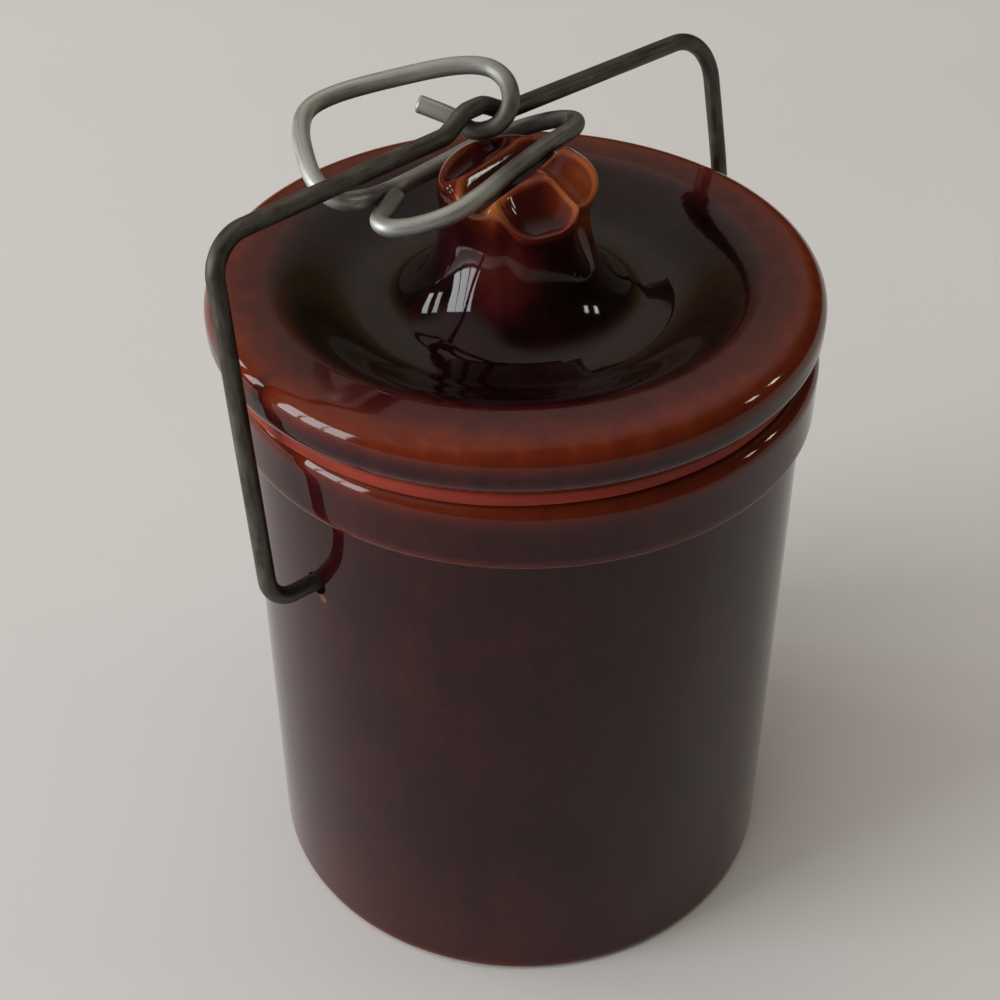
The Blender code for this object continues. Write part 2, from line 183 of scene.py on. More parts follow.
CLIP_ROUTE = (
    (-0.0042, 0.0173, 0.1334),
    (-0.0017, 0.0130, 0.1319),
    (-0.0002, 0.0102, 0.1302),
    (0.0014, 0.0078, 0.1308),
    (0.0030, 0.0067, 0.1324),
    (0.0046, 0.0071, 0.1344),
    (0.0060, 0.0097, 0.1362),
    (0.0056, 0.0132, 0.1371),
    (0.0025, 0.0172, 0.1369),
    (-0.0042, 0.0224, 0.1356),
    (-0.0115, 0.0265, 0.1343),
    (-0.0166, 0.0270, 0.1334),
    (-0.0206, 0.0239, 0.1325),
    (-0.0240, 0.0189, 0.1314),
    (-0.0259, 0.0149, 0.1302),
    (-0.0258, 0.0122, 0.1289),
    (-0.0242, 0.0108, 0.1279),
    (-0.0212, 0.0107, 0.1271),
    (-0.0180, 0.0114, 0.1261),
    (-0.0117, 0.0130, 0.1248),
    (-0.0033, 0.0142, 0.1242),
    (0.0040, 0.0138, 0.1249),
    (0.0099, 0.0118, 0.1260),
    (0.0140, 0.0081, 0.1275),
    (0.0155, 0.0048, 0.1282),
    (0.0132, 0.0027, 0.1284),
    (0.0075, 0.0020, 0.1283),
    (-0.0010, 0.0006, 0.1280),
    (-0.0093, -0.0010, 0.1276),
    (-0.0147, -0.0006, 0.1266),
    (-0.0189, 0.0020, 0.1254),
    (-0.0212, 0.0050, 0.1248),
    (-0.0211, 0.0074, 0.1249),
    (-0.0190, 0.0082, 0.1255),
    (-0.0159, 0.0091, 0.1264),
)
CLIP_STEPS = 12

# Share of bright zinc on the wires, against tarnish, and how much less of it the clip has over the knob and
# at its lower end: middle, the distances over which it fades, and amount
BAIL_ZINC = 0.06
CLIP_ZINC = 0.95
CLIP_TARNISH = (
    ((0.0060, 0.0015, 0.1283), (0.0190, 0.0080), 0.72),
    ((-0.0170, 0.0086, 0.1260), (0.0060, 0.0030), 0.55),
)
ZINC_TONES = ((0.30, (0.300, 0.314, 0.290)), (0.62, (0.520, 0.540, 0.505)))
TARNISH_TONES = ((0.30, (0.044, 0.036, 0.028)), (0.62, (0.072, 0.060, 0.048)))

# Glaze: its tones from where it lies thick to where it lies thin, its gloss and its streaks
GLAZE_TONES = (
    (0.0, (0.0025, 0.0010, 0.0012)),
    (0.20, (0.020, 0.0024, 0.0042)),
    (0.42, (0.062, 0.0085, 0.0070)),
    (0.64, (0.130, 0.0190, 0.0070)),
    (0.82, (0.230, 0.0480, 0.0120)),
    (1.0, (0.360, 0.1050, 0.0300)),
)
GLAZE_GLOSS = 0.27
BODY_STREAKS = 0.11
LID_STREAKS = 0.26
PIT_COLOUR = (0.20, 0.13, 0.10)
CLAY_COLOUR = (0.15, 0.065, 0.048)
RUBBER_TONES = ((0.30, (0.180, 0.020, 0.011)), (0.55, (0.270, 0.032, 0.018)), (0.75, (0.350, 0.060, 0.036)))

# How thin the glaze lies, from 0 to 1, with a painted highlight at the lid's lower edge on the same scale:
# the level on the wall and in the dish, what each place adds to it, and the reach and curvatures by which an
# edge or a hollow is found
WALL_THIN = 0.22
# Bands round the body: amount, and the heights where it starts and is full
WALL_BANDS = (
    (0.10, 0.030, 0.0),
    (0.05, 0.090, 0.094),
    (0.24, CROCK_HEIGHT - 0.0046, CROCK_HEIGHT - 0.0010),
)
BODY_EDGE_THIN = 0.22
BODY_EDGE_REACH = 0.0014
BODY_EDGE_CURVES = (60.0, 300.0)
DISH_THIN = 0.06
RING_THIN = 0.28
LID_RIM_THIN = 0.26
LID_SIDE_THIN = -0.36
CROWN_THIN = 0.34
# Painted highlight: a pale line along the lid's lower edge, laid on as thinner glaze
LID_FOOT_PAINTED_HIGHLIGHT = 0.30
LID_EDGE_THIN = 0.30
LID_EDGE_REACH = 0.0012
LID_EDGE_CURVES = (60.0, 420.0)
LID_HOLLOW_THIN = -0.10
LID_HOLLOW_CURVES = (60.0, 400.0)
# Spots on the knob: place along and across the wire groove and height, reach, and amount
KNOB_SPOTS = (
    ((0.0038, -0.0082, 0.1240), 0.0082, 0.38),
    ((0.0048, -0.0100, 0.1170), 0.0080, 0.20),
    ((0.0000, -0.0110, 0.1140), 0.0050, -0.12),
    ((-0.0100, -0.0050, 0.1160), 0.0085, 0.22),
    ((-0.0095, -0.0010, 0.1270), 0.0062, 0.34),
    ((0.0100, 0.0060, 0.1260), 0.0070, 0.12),
)
SPOT_CORE = 0.3


def smooth_step(value, low, high):
    t = np.clip((value - low) / (high - low), 0.0, 1.0)
    return t * t * (3.0 - 2.0 * t)


def arc(centre_r, centre_z, radius, start, end, steps=14):
    """Profile points on an arc, with the angles in degrees from +R towards +Z."""
    angles = np.radians(np.linspace(start, end, steps + 1))
    return [(centre_r + radius * math.cos(a), centre_z + radius * math.sin(a)) for a in angles]


def finer(profile, step):
    """The same profile with no stretch longer than step."""
    points = [profile[0]]
    for (r0, z0), (r1, z1) in zip(profile, profile[1:]):
        count = max(1, math.ceil(math.hypot(r1 - r0, z1 - z0) / step))
        for i in range(1, count + 1):
            t = i / count
            points.append((r0 + (r1 - r0) * t, z0 + (z1 - z0) * t))
    return points


def turned(profile, sides):
    """Rings of points, one for each point of the profile."""
    turns = np.linspace(0.0, math.tau, sides, endpoint=False)
    radius = np.array([r for r, z in profile])[:, None]
    height = np.array([z for r, z in profile])[:, None]
    return np.stack([radius * np.cos(turns), radius * np.sin(turns), height + 0.0 * turns], axis=2)


def ring_mesh(name, rings, joined=False):
    """A closed mesh over rings of points. joined meets the last ring with the first, and otherwise each
    end ring is closed by a point at its middle."""
    count, sides = rings.shape[:2]
    points = [tuple(p) for p in rings.reshape(-1, 3)]
    faces = []
    for i in range(count if joined else count - 1):
        low = i * sides
        high = (i + 1) % count * sides
        for j in range(sides):
            k = (j + 1) % sides
            faces.append((low + j, low + k, high + k, high + j))
    if not joined:
        for start, flip in ((0, True), ((count - 1) * sides, False)):
            points.append(tuple(rings.reshape(-1, 3)[start:start + sides].mean(axis=0)))
            for j in range(sides):
                k = (j + 1) % sides
                pair = (start + k, start + j) if flip else (start + j, start + k)
                faces.append((*pair, len(points) - 1))
    mesh = bpy.data.meshes.new(name)
    mesh.from_pydata(points, [], faces)
    mesh.validate()
    return mesh


def add_piece(name, mesh, material, node):
    piece = bpy.data.objects.new(name, mesh)
    bpy.context.scene.collection.objects.link(piece)
    mesh.materials.append(material)
    mesh.shade_smooth()
    mesh.set_sharp_from_angle(angle=SHARP_ANGLE)
    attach(piece, "root")
    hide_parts(node)
    return piece


def coordinates(mesh):
    flat = np.empty(3 * len(mesh.vertices))
    mesh.vertices.foreach_get("co", flat)
    return flat.reshape(-1, 3)


def store(mesh, name, values):
    """Keep one number, or one vector, for each point of the mesh, for its material."""
    kind = 'FLOAT' if values.ndim == 1 else 'FLOAT_VECTOR'
    attribute = mesh.attributes.new(name, kind, 'POINT')
    attribute.data.foreach_set("value" if kind == 'FLOAT' else "vector", values.astype(np.float32).ravel())


def bulge(mesh, reach):
    """How much the surface curves outwards (above 0) or inwards (below 0) round each point, in 1/m."""
    tree = kdtree.KDTree(len(mesh.vertices))
    for vertex in mesh.vertices:
        tree.insert(vertex.co, vertex.index)
    tree.balance()
    result = np.zeros(len(mesh.vertices))
    for vertex in mesh.vertices:
        normal = vertex.normal
        near = tree.find_range(vertex.co, reach)
        result[vertex.index] = -sum((co - vertex.co).dot(normal) for co, _, _ in near) / len(near)
    return result * 4.0 / reach ** 2


def crock_profile():
    profile = arc(BASE_RADIUS - BASE_EDGE, BASE_EDGE, BASE_EDGE, -90, 0)
    profile.append((NECK_RADIUS, NECK_HEIGHT))
    profile += arc(COLLAR_RADIUS - COLLAR_ROUNDING, NECK_HEIGHT + COLLAR_ROUNDING, COLLAR_ROUNDING,
                   -90, 0, 10)
    profile += arc(COLLAR_RADIUS - RIM_ROUNDING, CROCK_HEIGHT - RIM_ROUNDING, RIM_ROUNDING, 0, 90)
    profile.append((GASKET_INNER, CROCK_HEIGHT))
    return finer(profile, BODY_STEP)


def wobble(points, size, scale, seed):
    """A slow unevenness, as a hand-finished wall has, outwards from the axis."""
    moved = points.copy()
    flat = moved.reshape(-1, 3)
    for i, p in enumerate(flat):
        push = noise.noise(Vector(p * scale) + Vector((seed, seed, seed))) * size
        radius = math.hypot(p[0], p[1])
        flat[i, 0] += p[0] / radius * push
        flat[i, 1] += p[1] / radius * push
    return flat.reshape(points.shape)


def cut_pivot_holes(piece):
    """Blind holes for the bail's ends."""
    reach = BASE_RADIUS + PIVOT_HOLE_RADIUS
    for side in (-1, 1):
        bm = bmesh.new()
        bmesh.ops.create_cone(bm, cap_ends=True, segments=PIVOT_HOLE_SIDES, radius1=PIVOT_HOLE_RADIUS,
                              radius2=PIVOT_HOLE_RADIUS, depth=reach - PIVOT_HOLE_INNER)
        mesh = bpy.data.meshes.new("pivot_cutter")
        bm.to_mesh(mesh)
        bm.free()
        cutter = bpy.data.objects.new("pivot_cutter", mesh)
        bpy.context.scene.collection.objects.link(cutter)
        cutter.rotation_euler = (0.0, math.radians(90), 0.0)
        cutter.location = (side * 0.5 * (reach + PIVOT_HOLE_INNER), 0.0, PIVOT_HEIGHT)
        cut = piece.modifiers.new("pivot_hole", 'BOOLEAN')
        cut.operation = 'DIFFERENCE'
        cut.object = cutter
        bpy.context.view_layer.update()
        evaluated = piece.evaluated_get(bpy.context.evaluated_depsgraph_get())
        holed = bpy.data.meshes.new_from_object(evaluated)
        piece.modifiers.clear()
        piece.data = holed
        bpy.data.objects.remove(cutter)


def make_crock(material):
    rings = wobble(turned(crock_profile(), BODY_SIDES), *WALL_WOBBLE)
    mesh = ring_mesh("crock_body", rings)
    piece = add_piece("crock_body", mesh, material, "crock")
    cut_pivot_holes(piece)
    mesh = piece.data
    height = coordinates(mesh)[:, 2]
    thin = WALL_THIN
    for amount, start, full in WALL_BANDS:
        thin = thin + amount * smooth_step(height, start, full)
    thin += BODY_EDGE_THIN * smooth_step(bulge(mesh, BODY_EDGE_REACH), *BODY_EDGE_CURVES)
    store(mesh, "thin", thin)


def make_gasket(material):
    low = CROCK_HEIGHT + GAP
    high = low + GASKET_THICKNESS
    profile = [(GASKET_INNER, high), (GASKET_INNER, low)]
    profile += arc(GASKET_OUTER - GASKET_EDGE, low + GASKET_EDGE, GASKET_EDGE, -90, 0, 5)
    profile += arc(GASKET_OUTER - GASKET_EDGE, high - GASKET_EDGE, GASKET_EDGE, 0, 90, 5)
    rings = wobble(turned(finer(profile, GASKET_STEP), BODY_SIDES), *GASKET_WOBBLE) + LID_SHIFT
    rings[:, :, 0] -= GASKET_CREEP
    mesh = ring_mesh("gasket_ring", rings, joined=True)
    add_piece("gasket_ring", mesh, material, "gasket")


def dish_profile():
    """From the lid's flat ring down the dish to its floor."""
    points = []
    for t in np.linspace(0.0, 1.0, 33):
        radius = DISH_RADIUS + (DISH_FLOOR_RADIUS - DISH_RADIUS) * t
        drop = DISH_STRAIGHT_SHARE * t + (1.0 - DISH_STRAIGHT_SHARE) * smooth_step(t, 0.0, 1.0)
        points.append((radius, LID_TOP - drop * (LID_TOP - DISH_FLOOR)))
    return points


def skirt_radius(rise):
    """Radius of the skirt and column above the dish's floor."""
    return KNOB_WAIST + SKIRT_FLARE * math.exp(-rise / SKIRT_FADE)


def knob_profile():
    """From the dish's floor up the flared skirt and the column, and over the crown to its centre."""
    foot = skirt_radius(SKIRT_FILLET)
    fillet = 2.0 * SKIRT_FILLET * (foot - KNOB_WAIST) / SKIRT_FADE
    points = [(foot + fillet * t, DISH_FLOOR + SKIRT_FILLET * (1.0 - t) ** 2)
              for t in np.linspace(1.0, 0.0, 17)]
    top = CROWN_HEIGHT - CROWN_ROUNDING
    for height in np.linspace(DISH_FLOOR + SKIRT_FILLET, top, 60)[1:]:
        spread = CROWN_SPREAD * smooth_step(height, *CROWN_SPREAD_SPAN)
        points.append((skirt_radius(height - DISH_FLOOR) + spread, height))
    edge = points[-1][0] - CROWN_ROUNDING
    points += arc(edge, top, CROWN_ROUNDING, 0, 90, 18)[1:]
    for part in np.linspace(0.97, 0.0, 34):
        points.append((edge * part, CROWN_HEIGHT + CROWN_BULGE * (1.0 - part)))
    return finer(points, KNOB_STEP)


def lid_profile():
    profile = [(0.5 * BOSS_RADIUS, BOSS_BOTTOM), (BOSS_RADIUS, BOSS_BOTTOM), (BOSS_RADIUS, LID_SEAT)]
    profile += arc(LID_RADIUS - LID_LOWER_ROUNDING, LID_SEAT + LID_LOWER_ROUNDING, LID_LOWER_ROUNDING, -90, 0)
    profile += arc(LID_RADIUS - LID_UPPER_ROUNDING, LID_TOP - LID_UPPER_ROUNDING, LID_UPPER_ROUNDING, 0, 90)
    profile += dish_profile()
    return finer(profile, LID_STEP)


def lower_of(a, b, softness):
    """The lower of two heights, with a rounded meeting."""
    mix = np.clip(0.5 + 0.5 * (b - a) / softness, 0.0, 1.0)
    return b * (1.0 - mix) + a * mix - softness * mix * (1.0 - mix)


def pressed_top(along, across):
    """Height of the knob's pressed top, from its front lobe and its scoops."""
    beyond = (np.maximum(along - FRONT_LOBE_EDGES[0], 0.0) ** 2
              + np.maximum(across - FRONT_LOBE_EDGES[1], 0.0) ** 2)
    top = FRONT_LOBE_TOP + 0.5 * beyond / FRONT_LOBE_RISE
    for (a0, c0, z0), (a1, c1, z1), radius, softness in SCOOPS:
        line = np.array((a1 - a0, c1 - c0))
        share = np.clip(((along - a0) * line[0] + (across - c0) * line[1]) / (line @ line), 0.0, 1.0)
        off = (along - a0 - share * line[0]) ** 2 + (across - c0 - share * line[1]) ** 2
        top = lower_of(top, z0 + (z1 - z0) * share + 0.5 * off / radius, softness)
    return top


def resampled(path, count):
    """The path through its points as count points at even distances."""
    along = np.concatenate([[0.0], np.cumsum(np.linalg.norm(np.diff(path, axis=0), axis=1))])
    places = np.linspace(0.0, along[-1], count)
    return np.stack([np.interp(places, along, path[:, i]) for i in range(path.shape[1])], axis=1)


def smoothed(path, reach):
    """The path with its corners rounded over reach and its ends kept; its points are KNOB_STEP apart."""
    half = math.ceil(3.0 * reach / KNOB_STEP)
    weights = np.exp(-0.5 * (np.arange(-half, half + 1) * KNOB_STEP / reach) ** 2)
    weights /= weights.sum()
    before = 2.0 * path[0] - path[half:0:-1]
    after = 2.0 * path[-1] - path[-2:-half - 2:-1]
    padded = np.concatenate([before, path, after])
    return np.stack([np.convolve(padded[:, i], weights, mode="valid") for i in range(2)], axis=1)


def knob_rings(profile, sides):
    """Rings of the knob: its turned profile with the fin, flutes and pressed top. Some lie below the edge of
    the pressed top and the others above it, so that they follow the edge round."""
    turns = np.linspace(0.0, math.tau, sides, endpoint=False)
    local = turns - WIRE_GROOVE_ANGLE
    radius = np.array([r for r, z in profile])[:, None]
    height = np.array([z for r, z in profile])[:, None]
    away = (local - FIN_TURN + math.pi) % math.tau - math.pi
    size = 1.0 + FIN_SPREAD * np.exp(-(away / FIN_WIDTH) ** 2) * smooth_step(height, *FIN_SPAN)
    pull = 0.0
    for turn, width, depth, foot, full in FLUTES:
        away = (local - turn + math.pi) % math.tau - math.pi
        pull = pull + depth * np.exp(-(away / width) ** 2) * smooth_step(height, foot, full)
    radius = radius * (size - pull / KNOB_WAIST)
    height = lower_of(height, pressed_top(radius * np.cos(local), radius * np.sin(local)), EDGE_SOFTNESS)
    rings = np.empty((KNOB_SIDE_RINGS + KNOB_TOP_RINGS - 1, sides, 3))
    for j, turn in enumerate(turns):
        path = np.stack([radius[:, j], height[:, j]], axis=1)
        length = np.linalg.norm(np.diff(path, axis=0), axis=1).sum()
        path = smoothed(resampled(path, math.ceil(length / KNOB_STEP) + 1), KNOB_SMOOTHING)
        edge = path.sum(axis=1).argmax()
        below = resampled(path[:edge + 1], KNOB_SIDE_RINGS)
        above = resampled(path[edge:], KNOB_TOP_RINGS + 1)[1:-1]
        path = np.concatenate([below, above])
        rings[:, j, 0] = path[:, 0] * math.cos(turn)
        rings[:, j, 1] = path[:, 0] * math.sin(turn)
        rings[:, j, 2] = path[:, 1]
    return rings


def lid_thinness_and_highlight(mesh):
    """How thin the glaze lies at each point of the lid: on its flat ring, towards its rim, down its side, up
    the knob, in spots on the knob, and over every edge, with a painted highlight as a pale line along its
    lower edge."""
    place = coordinates(mesh) - LID_SHIFT
    radius = np.hypot(place[:, 0], place[:, 1])
    height = place[:, 2]
    side = smooth_step(LID_TOP - 0.0018 - height, 0.0, 0.0030)
    rise = smooth_step(height, DISH_FLOOR + 0.002, CROWN_HEIGHT)
    # Painted highlight: a pale band along the lid's lower edge
    foot = smooth_step(height, LID_SEAT + 0.0013, LID_SEAT + 0.0006)
    thin = DISH_THIN + RING_THIN * smooth_step(radius, DISH_RADIUS - 0.004, DISH_RADIUS + 0.001)
    thin += LID_RIM_THIN * smooth_step(radius, DISH_RADIUS, LID_RADIUS - 0.001)
    thin += LID_SIDE_THIN * side * smooth_step(radius, 0.040, 0.042)
    thin += CROWN_THIN * rise * smooth_step(radius, 0.020, 0.014)
    thin += LID_FOOT_PAINTED_HIGHLIGHT * foot * smooth_step(radius, 0.0440, 0.0450)
    cos, sin = math.cos(WIRE_GROOVE_ANGLE), math.sin(WIRE_GROOVE_ANGLE)
    along = cos * place[:, 0] + sin * place[:, 1]
    across = cos * place[:, 1] - sin * place[:, 0]
    local = np.stack([along, across, height], axis=1)
    for spot, reach, amount in KNOB_SPOTS:
        thin += amount * smooth_step(np.linalg.norm(local - spot, axis=1), reach, SPOT_CORE * reach)
    curve = bulge(mesh, LID_EDGE_REACH)
    return thin + (LID_EDGE_THIN * smooth_step(curve, *LID_EDGE_CURVES)
                   + LID_HOLLOW_THIN * smooth_step(-curve, *LID_HOLLOW_CURVES))


def make_lid(material):
    rings = np.concatenate([turned(lid_profile(), LID_SIDES), knob_rings(knob_profile(), LID_SIDES)])
    mesh = ring_mesh("lid_glazed", rings + LID_SHIFT)
    # On the lid the thin values also hold a painted highlight along its lower edge
    store(mesh, "thin", lid_thinness_and_highlight(mesh))
    add_piece("lid_glazed", mesh, material, "lid")


def bail_point(along, rise):
    """A place in the bail's own plane, which leans back about the pivot axis."""
    return Vector((along, rise * math.sin(BAIL_LEAN), PIVOT_HEIGHT + rise * math.cos(BAIL_LEAN)))


def bent_route(corners, step=math.radians(4)):
    """Points along a wire that runs straight between corners and turns each on its bend radius."""
    points = [corners[0][0]]
    for before, (corner, bend), after in zip(corners, corners[1:], corners[2:]):
        inward = (corner - before[0]).normalized()
        outward = (after[0] - corner).normalized()
        turn = inward.angle(outward)
        start = corner - inward * bend * math.tan(0.5 * turn)
        side = (outward - inward * inward.dot(outward)).normalized()
        centre = start + side * bend
        for angle in np.linspace(0.0, turn, max(3, math.ceil(turn / step)) + 1):
            points.append(centre - side * bend * math.cos(angle) + inward * bend * math.sin(angle))
    points.append(corners[-1][0])
    return points


def smooth_route(stations, steps):
    """Points along one smooth curve through all the stations."""
    stations = [Vector(station) for station in stations]
    padded = [2 * stations[0] - stations[1]] + stations + [2 * stations[-1] - stations[-2]]
    points = []
    for a, b, c, d in zip(padded, padded[1:], padded[2:], padded[3:]):
        for i in range(steps):
            t = i / steps
            point = 2 * b + (c - a) * t + (2 * a - 5 * b + 4 * c - d) * t * t
            points.append(0.5 * (point + (3 * b - a - 3 * c + d) * t ** 3))
    points.append(stations[-1])
    return points


def even_route(points, step):
    """The same route with no stretch longer than step."""
    route = [points[0]]
    for a, b in zip(points, points[1:]):
        count = max(1, math.ceil((b - a).length / step))
        route += [a.lerp(b, i / count) for i in range(1, count + 1)]
    return route


def wire_rings(route):
    """Rings round a route, with a small chamfer at each cut end, and each point's place on the wire:
    the cosine and sine of its turn round the wire, and its distance along it."""
    first = (route[1] - route[0]).normalized()
    last = (route[-1] - route[-2]).normalized()
    start = [route[0], route[0] + first * WIRE_CHAMFER]
    end = [route[-1] - last * WIRE_CHAMFER, route[-1]]
    route = start + route[1:-1] + end
    radii = [WIRE_RADIUS - WIRE_CHAMFER] + [WIRE_RADIUS] * (len(route) - 2) + [WIRE_RADIUS - WIRE_CHAMFER]
    side = first.orthogonal().normalized()
    turns = np.linspace(0.0, math.tau, WIRE_SIDES, endpoint=False)
    rings, places = [], []
    travelled = 0.0
    heading = first
    for i, (point, radius) in enumerate(zip(route, radii)):
        behind = route[max(i - 1, 0)]
        ahead = route[min(i + 1, len(route) - 1)]
        new_heading = (ahead - behind).normalized()
        side = heading.rotation_difference(new_heading) @ side
        heading = new_heading
        up = heading.cross(side)
        travelled += (point - behind).length
        rings.append([point + radius * (math.cos(t) * side + math.sin(t) * up) for t in turns])
        places.append([(math.cos(t), math.sin(t), travelled) for t in turns])
    return np.array(rings), np.array(places)


def make_wire(name, route, material, node, zinc):
    rings, places = wire_rings(route)
    mesh = ring_mesh(name, rings)
    middle = [places[0].mean(axis=0), places[-1].mean(axis=0)]
    store(mesh, "wire_place", np.concatenate([places.reshape(-1, 3), middle]))
    store(mesh, "zinc", zinc(coordinates(mesh)))
    add_piece(name, mesh, material, node)


def bail_zinc(points):
    return np.full(len(points), BAIL_ZINC)


def make_bail(material):
    corners = [
        (-BAIL_END, 0.0, 0.0),
        (*LEFT_FOOT, LEFT_FOOT_BEND),
        (*LEFT_SHOULDER, LEFT_SHOULDER_BEND),
        (-HUMP_HALF, HUMP_LEFT_FOOT, HUMP_BEND),
        (-HUMP_CREST_HALF, HUMP_CREST, HUMP_BEND),
        (HUMP_CREST_HALF, HUMP_CREST, HUMP_BEND),
        (HUMP_HALF, HUMP_RIGHT_FOOT, HUMP_BEND),
        (*RIGHT_SHOULDER, RIGHT_SHOULDER_BEND),
        (*RIGHT_WAIST, WAIST_BEND),
        (*RIGHT_FOOT, RIGHT_FOOT_BEND),
        (BAIL_END, 0.0, 0.0),
    ]
    route = bent_route([(bail_point(along, rise), bend) for along, rise, bend in corners])
    make_wire("bail_wire", even_route(route, WIRE_STEP), material, "bail", bail_zinc)


def clip_zinc(points):
    """The clip is bright zinc but for the strand over the knob and its lower end, which are tarnished."""
    zinc = CLIP_ZINC
    for middle, (start, full), amount in CLIP_TARNISH:
        zinc = zinc - amount * smooth_step(np.linalg.norm(points - middle, axis=1), start, full)
    return zinc


def make_clip(material):
    make_wire("clip_wire", smooth_route(CLIP_ROUTE, CLIP_STEPS), material, "clip", clip_zinc)


class Material:
    """A Principled material and short calls for its nodes."""

    def __init__(self, name, **values):
        self.material = bpy.data.materials.new(name)
        self.material.use_nodes = True
        self.tree = self.material.node_tree
        self.shader = self.tree.nodes["Principled BSDF"]
        for socket, value in values.items():
            self.shader.inputs[socket.replace("_", " ")].default_value = value
        self.place = self.add("ShaderNodeTexCoord").outputs["Object"]

    def add(self, kind, **settings):
        node = self.tree.nodes.new(kind)
        for key, value in settings.items():
            setattr(node, key, value)
        return node

    def link(self, source, target):
        self.tree.links.new(source, target)

    def feed(self, node, values):
        for key, value in values.items():
            if isinstance(value, bpy.types.NodeSocket):
                self.link(value, node.inputs[key])
            else:
                node.inputs[key].default_value = value

    def math(self, operation, a, b=0.0, c=0.0, clamp=False):
        node = self.add("ShaderNodeMath", operation=operation, use_clamp=clamp)
        self.feed(node, {0: a, 1: b, 2: c})
        return node.outputs[0]

    def vary(self, value, pattern, amount, clamp=False):
        """The value, raised and lowered by a pattern about its middle."""
        return self.math('MULTIPLY_ADD', self.math('SUBTRACT', pattern, 0.5), amount, value, clamp=clamp)

    def attribute(self, name, output="Fac"):
        return self.add("ShaderNodeAttribute", attribute_name=name).outputs[output]

    def noise(self, scale, detail=2.0, roughness=0.5, place=None, stretch=None):
        place = place or self.place
        if stretch:
            node = self.add("ShaderNodeVectorMath", operation='MULTIPLY')
            self.feed(node, {0: place, 1: stretch})
            place = node.outputs[0]
        node = self.add("ShaderNodeTexNoise")
        self.feed(node, {"Vector": place, "Scale": scale, "Detail": detail, "Roughness": roughness})
        return node.outputs["Fac"]

    def between(self, value, low, high, out_low=0.0, out_high=1.0):
        node = self.add("ShaderNodeMapRange", interpolation_type='SMOOTHSTEP')
        self.feed(node, {"Value": value, "From Min": low, "From Max": high,
                         "To Min": out_low, "To Max": out_high})
        return node.outputs["Result"]

    def ramp(self, value, stops):
        node = self.add("ShaderNodeValToRGB")
        elements = node.color_ramp.elements
        while len(elements) < len(stops):
            elements.new(0.5)
        for element, (position, colour) in zip(elements, stops):
            element.position = position
            element.color = (*colour, 1.0)
        self.link(value, node.inputs["Fac"])
        return node.outputs["Color"]

    def mix(self, share, a, b):
        node = self.add("ShaderNodeMix", data_type='RGBA')
        self.feed(node, {"Factor": share})
        for socket, value in ((node.inputs[6], a), (node.inputs[7], b)):
            if isinstance(value, bpy.types.NodeSocket):
                self.link(value, socket)
            else:
                socket.default_value = (*value, 1.0)
        return node.outputs[2]

    def near(self, spot, radius):
        """One at a spot on the surface, fading to nothing at radius."""
        node = self.add("ShaderNodeVectorMath", operation='DISTANCE')
        self.feed(node, {0: self.place, 1: spot})
        return self.between(node.outputs["Value"], radius, 0.4 * radius)

    def bump(self, height, distance, after=None):
        node = self.add("ShaderNodeBump")
        self.feed(node, {"Height": height, "Distance": distance, "Strength": 1.0})
        if after:
            self.link(after, node.inputs["Normal"])
        return node.outputs["Normal"]

    def colour(self, value):
        self.link(value, self.shader.inputs["Base Color"])

    def roughness(self, value):
        self.link(value, self.shader.inputs["Roughness"])

    def normal(self, value):
        self.link(value, self.shader.inputs["Normal"])


def glaze_material(name, streaks, bare_clay):
    """Brown glaze: near black where it lies thick, maroon on the walls, and orange-brown over edges. It has
    streaks, a few small pits and the soft ripple of a fired glaze, and may have a bare spot of clay."""
    m = Material(name, IOR=1.5, Specular_IOR_Level=GLAZE_GLOSS)
    # On the lid, thin also holds a painted highlight along its lower edge
    thin = m.vary(m.attribute("thin"), m.noise(70.0, 3.0, 0.6), 0.22)
    thin = m.vary(thin, m.noise(520.0, 3.0, 0.65), 0.15)
    runs = m.noise(1.0, 3.0, 0.6, stretch=(260.0, 260.0, 38.0))
    colour = m.ramp(m.vary(thin, runs, streaks, clamp=True), GLAZE_TONES)
    cells = m.add("ShaderNodeTexVoronoi")
    m.feed(cells, {"Vector": m.place, "Scale": 85.0})
    chosen = m.between(cells.outputs["Color"], 0.72, 0.74)
    pit = m.math('MULTIPLY', m.between(cells.outputs["Distance"], 0.028, 0.012), chosen)
    colour = m.mix(m.math('MULTIPLY', pit, 0.6), colour, PIT_COLOUR)
    peel = m.bump(m.noise(420.0, 2.0), 0.00001)
    peel = m.bump(m.noise(45.0, 2.0), 0.00006, after=peel)
    peel = m.bump(m.math('MULTIPLY', pit, -1.0), 0.00008, after=peel)
    rough = m.between(m.noise(30.0, 4.0, 0.6), 0.35, 0.75, 0.035, 0.085)
    if bare_clay:
        ragged = m.vary(m.near(BARE_SPOT, BARE_SPOT_REACH), m.noise(900.0), 0.5)
        bare = m.between(ragged, 0.42, 0.58)
        colour = m.mix(bare, colour, CLAY_COLOUR)
        rough = m.math('MULTIPLY_ADD', bare, 0.8, rough)
    m.colour(colour)
    m.roughness(rough)
    m.normal(peel)
    return m.material


def rubber_material():
    """Dull orange-red rubber, a little dusty, with faint bands round it."""
    m = Material("gasket_rubber", IOR=1.5, Specular_IOR_Level=0.2)
    dust = m.noise(350.0, 4.0, 0.7)
    bands = m.noise(1.0, 3.0, 0.6, stretch=(60.0, 60.0, 900.0))
    tone = m.math('MULTIPLY_ADD', dust, 0.5, m.math('MULTIPLY', bands, 0.5))
    m.colour(m.ramp(tone, RUBBER_TONES))
    m.roughness(m.between(dust, 0.3, 0.7, 0.55, 0.80))
    m.normal(m.bump(dust, 0.00005))
    return m.material


